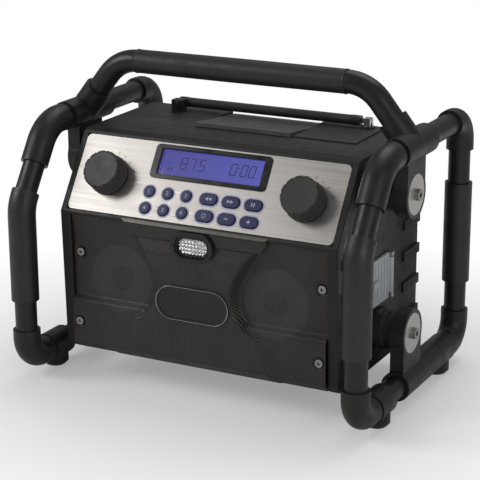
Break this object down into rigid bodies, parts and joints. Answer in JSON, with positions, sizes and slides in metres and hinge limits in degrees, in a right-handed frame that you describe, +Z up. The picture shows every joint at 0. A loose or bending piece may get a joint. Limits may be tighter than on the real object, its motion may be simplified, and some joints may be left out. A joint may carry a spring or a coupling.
{
  "type": "jobsite radio",
  "caption": "Jobsite radio in a bent pipe cage with a carrying handle, a sloping control panel, a pierced speaker front, a work lamp and a folding whip antenna.",
  "frame": {"origin": "on the floor, midway between the side loops and midway between their front and rear posts", "axes": "+X to the right as seen from the front, +Y to the rear, +Z up"},
  "size_m": [0.4436, 0.3186, 0.3668],
  "materials": {
    "pipe": "satin",
    "fitting": "satin, finely textured",
    "sleeve": "matt",
    "cabinet": "satin, finely textured",
    "deck": "satin, finely textured",
    "hatch": "satin",
    "plate": "brushed across",
    "display_frame": "gloss",
    "display_lens": "clear, gloss",
    "display": "lit from behind",
    "grille": "satin, pierced",
    "visor": "gloss",
    "lamp_housing": "satin",
    "lamp_lens": "clear, faceted",
    "badge": "gloss",
    "dark_screw": "satin",
    "basket": "satin",
    "cone": "matt",
    "board": "satin",
    "mat": "matt",
    "bay": "satin",
    "battery": "satin",
    "tray": "satin",
    "antenna_base": "satin",
    "bright": "polished",
    "whip": "matt",
    "pin": "turned",
    "side_door": "satin",
    "battery_door": "satin",
    "dial": "matt, fluted",
    "round_key": "satin",
    "oval_key": "satin",
    "bushing": "matt",
    "washer": "turned"
  },
  "bodies": {
    "radio": {"front_posts": "pipe", "front_post_sleeves": "sleeve", "rear_posts": "pipe", "rear_post_sleeves": "sleeve", "bottom_rails": "pipe", "top_rails": "pipe", "upper_front_elbows": "fitting", "corner_elbows": "fitting", "foot_tees": "fitting", "mount_tees": "fitting", "handle_tees": "fitting", "handle_tube": "pipe", "handle_grip": "sleeve", "mount_bushings": "bushing", "mount_washers": "washer", "mount_bolts": "dark_screw", "front_cabinet": "cabinet", "rear_cabinet": "cabinet", "top_deck": "deck", "fascia_plate": "plate", "display_frame": "display_frame", "display_lens": "display_lens", "lcd_module": "display", "lamp_visor": "visor", "lamp_housing": "lamp_housing", "lamp_lens": "lamp_lens", "grille": "grille", "grille_screws": "dark_screw", "name_badge": "badge", "speaker_baskets": "basket", "speaker_cones": "cone", "circuit_board": "board", "key_mat": "mat", "battery_bay": "bay", "battery_pack": "battery", "socket_tray": "tray", "antenna_base": "antenna_base", "antenna_rest": "antenna_base", "door_pins": "pin"},
    "hatch_cover": {"hatch_cover": "hatch"},
    "side_door": {"side_door": "side_door"},
    "battery_door": {"battery_door": "battery_door"},
    "antenna_swivel": {"antenna_swivel": "bright"},
    "antenna_whip": {"antenna_whip": "whip"},
    "tuning_dial": {"tuning_dial": "dial"},
    "tuning_shaft": {"tuning_shaft": "pin"},
    "volume_dial": {"volume_dial": "dial"},
    "volume_shaft": {"volume_shaft": "pin"},
    "preset_key_1": {"preset_key_1": "round_key"},
    "preset_key_2": {"preset_key_2": "round_key"},
    "preset_key_3": {"preset_key_3": "round_key"},
    "preset_key_4": {"preset_key_4": "round_key"},
    "preset_key_5": {"preset_key_5": "round_key"},
    "preset_key_6": {"preset_key_6": "round_key"},
    "mode_key_1": {"mode_key_1": "oval_key"},
    "mode_key_2": {"mode_key_2": "oval_key"},
    "mode_key_3": {"mode_key_3": "oval_key"},
    "mode_key_4": {"mode_key_4": "oval_key"},
    "mode_key_5": {"mode_key_5": "oval_key"},
    "mode_key_6": {"mode_key_6": "oval_key"}
  },
  "joints": [
    {"name": "preset_key_1_press", "type": "slide", "parent": "radio", "child": "preset_key_1", "axis": [0, 0.832, -0.5548], "range_m": [0, 0.001], "stiffness_N_per_m": 400, "springref_m": -0.0005},
    {"name": "mode_key_1_press", "type": "slide", "parent": "radio", "child": "mode_key_1", "axis": [0, 0.832, -0.5548], "range_m": [0, 0.001], "stiffness_N_per_m": 400, "springref_m": -0.0005},
    {"name": "preset_key_2_press", "type": "slide", "parent": "radio", "child": "preset_key_2", "axis": [0, 0.832, -0.5548], "range_m": [0, 0.001], "stiffness_N_per_m": 400, "springref_m": -0.0005},
    {"name": "mode_key_2_press", "type": "slide", "parent": "radio", "child": "mode_key_2", "axis": [0, 0.832, -0.5548], "range_m": [0, 0.001], "stiffness_N_per_m": 400, "springref_m": -0.0005},
    {"name": "preset_key_3_press", "type": "slide", "parent": "radio", "child": "preset_key_3", "axis": [0, 0.832, -0.5548], "range_m": [0, 0.001], "stiffness_N_per_m": 400, "springref_m": -0.0005},
    {"name": "mode_key_3_press", "type": "slide", "parent": "radio", "child": "mode_key_3", "axis": [0, 0.832, -0.5548], "range_m": [0, 0.001], "stiffness_N_per_m": 400, "springref_m": -0.0005},
    {"name": "preset_key_4_press", "type": "slide", "parent": "radio", "child": "preset_key_4", "axis": [0, 0.832, -0.5548], "range_m": [0, 0.001], "stiffness_N_per_m": 400, "springref_m": -0.0005},
    {"name": "mode_key_4_press", "type": "slide", "parent": "radio", "child": "mode_key_4", "axis": [0, 0.832, -0.5548], "range_m": [0, 0.001], "stiffness_N_per_m": 400, "springref_m": -0.0005},
    {"name": "preset_key_5_press", "type": "slide", "parent": "radio", "child": "preset_key_5", "axis": [0, 0.832, -0.5548], "range_m": [0, 0.001], "stiffness_N_per_m": 400, "springref_m": -0.0005},
    {"name": "mode_key_5_press", "type": "slide", "parent": "radio", "child": "mode_key_5", "axis": [0, 0.832, -0.5548], "range_m": [0, 0.001], "stiffness_N_per_m": 400, "springref_m": -0.0005},
    {"name": "preset_key_6_press", "type": "slide", "parent": "radio", "child": "preset_key_6", "axis": [0, 0.832, -0.5548], "range_m": [0, 0.001], "stiffness_N_per_m": 400, "springref_m": -0.0005},
    {"name": "mode_key_6_press", "type": "slide", "parent": "radio", "child": "mode_key_6", "axis": [0, 0.832, -0.5548], "range_m": [0, 0.001], "stiffness_N_per_m": 400, "springref_m": -0.0005},
    {"name": "tuning_push", "type": "slide", "parent": "radio", "child": "tuning_shaft", "axis": [0, 0.832, -0.5548], "range_m": [0, 0.0008], "stiffness_N_per_m": 1500, "springref_m": -0.0008},
    {"name": "tuning_turn", "type": "hinge", "parent": "tuning_shaft", "child": "tuning_dial", "pos_m": [-0.1215, -0.09035, 0.23876], "axis": [0, -0.832, 0.5548], "continuous": true},
    {"name": "volume_push", "type": "slide", "parent": "radio", "child": "volume_shaft", "axis": [0, 0.832, -0.5548], "range_m": [0, 0.0008], "stiffness_N_per_m": 1500, "springref_m": -0.0008},
    {"name": "volume_turn", "type": "hinge", "parent": "volume_shaft", "child": "volume_dial", "pos_m": [0.1215, -0.09035, 0.23876], "axis": [0, -0.832, 0.5548], "continuous": true},
    {"name": "antenna_turn", "type": "hinge", "parent": "radio", "child": "antenna_swivel", "pos_m": [0.121, 0.073, 0.286], "axis": [0, 0, 1], "range_deg": [-100, 0]},
    {"name": "antenna_tilt", "type": "hinge", "parent": "antenna_swivel", "child": "antenna_whip", "pos_m": [0.121, 0.073, 0.2915], "axis": [0, 1, 0], "range_deg": [0, 90]},
    {"name": "hatch_slide", "type": "slide", "parent": "radio", "child": "hatch_cover", "axis": [0, 0.9952, -0.0976], "range_m": [0, 0.045]},
    {"name": "side_door_hinge", "type": "hinge", "parent": "radio", "child": "side_door", "pos_m": [0.1744, 0.019, 0.1347], "axis": [0, 0, 1], "range_deg": [0, 100]},
    {"name": "battery_door_hinge", "type": "hinge", "parent": "radio", "child": "battery_door", "pos_m": [0, 0.1096, 0.0575], "axis": [-1, 0, 0], "range_deg": [0, 95]}
  ]
}
